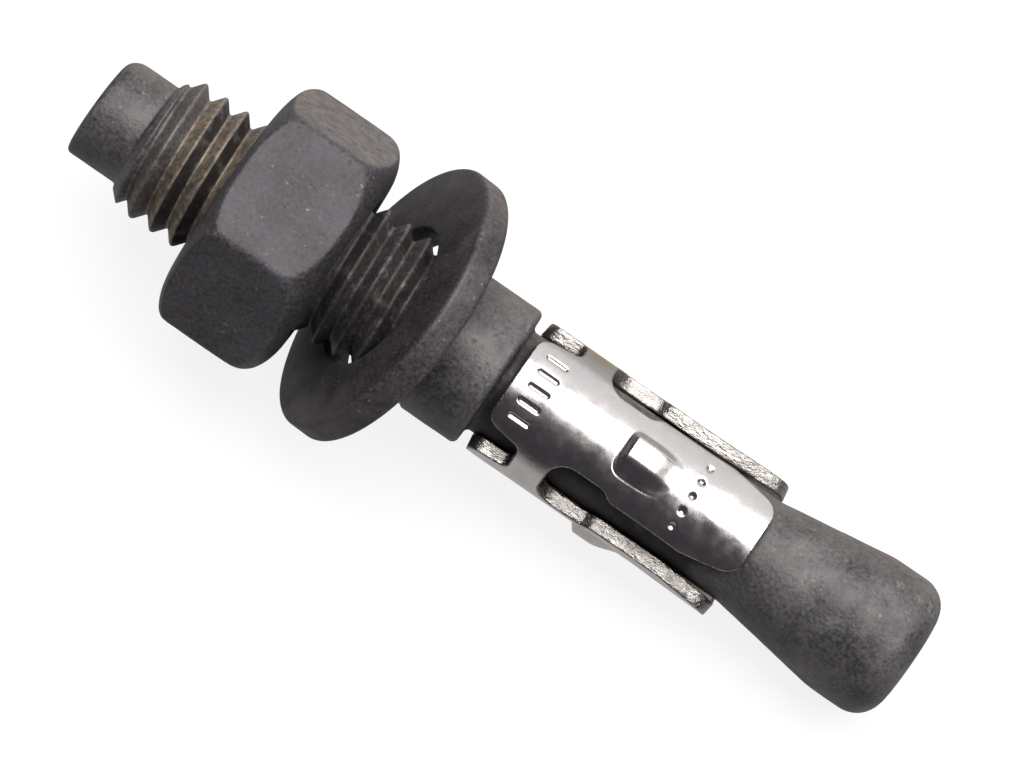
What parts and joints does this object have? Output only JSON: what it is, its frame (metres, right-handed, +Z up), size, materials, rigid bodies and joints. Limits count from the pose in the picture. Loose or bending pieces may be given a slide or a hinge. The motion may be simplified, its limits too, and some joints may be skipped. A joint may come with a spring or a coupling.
{
  "type": "wedge anchor",
  "caption": "Steel wedge anchor: threaded stud with a tapered cone end, hexagon nut, washer and rolled expansion clip.",
  "frame": {"origin": "on the floor under the middle of the anchor as it lies at rest", "axes": "+X along the anchor from the hammer stub towards the cone, seen from above; +Z up; the stud's own axis slopes down towards the cone by about 6.4 degrees, because the anchor rests on the washer's rim and the cone"},
  "size_m": [0.05, 0.016, 0.0151],
  "materials": {
    "galvanised_stud": "matt mottled dark grey galvanised steel",
    "galvanised_nut": "matt mottled dark grey galvanised steel",
    "galvanised_washer": "matt mottled dark grey galvanised steel",
    "bright_stainless": "bright rolled stainless sheet, mirror-like"
  },
  "bodies": {
    "stud": {"stud": "galvanised_stud"},
    "washer": {"washer": "galvanised_washer"},
    "nut": {"hex_nut": "galvanised_nut"},
    "clip": {"expansion_clip": "bright_stainless"}
  },
  "joints": [
    {"name": "nut_advance", "type": "slide", "parent": "stud", "child": "washer", "axis": [0.9939, 0, -0.1106], "range_m": [-0.00485, 0.0002]},
    {"name": "nut_turn", "type": "hinge", "parent": "washer", "child": "nut", "pos_m": [-0.01369, 0, 0.00802], "axis": [0.9939, 0, -0.1106], "range_deg": [-1396, 57]},
    {"name": "clip_turn", "type": "hinge", "parent": "stud", "child": "clip", "pos_m": [0.00745, 0, 0.00567], "axis": [0.9939, 0, -0.1106], "continuous": true}
  ],
  "couplings": [
    {"joint": "nut_advance", "follows": "nut_turn", "m_per_rad": 0.00019894}
  ]
}
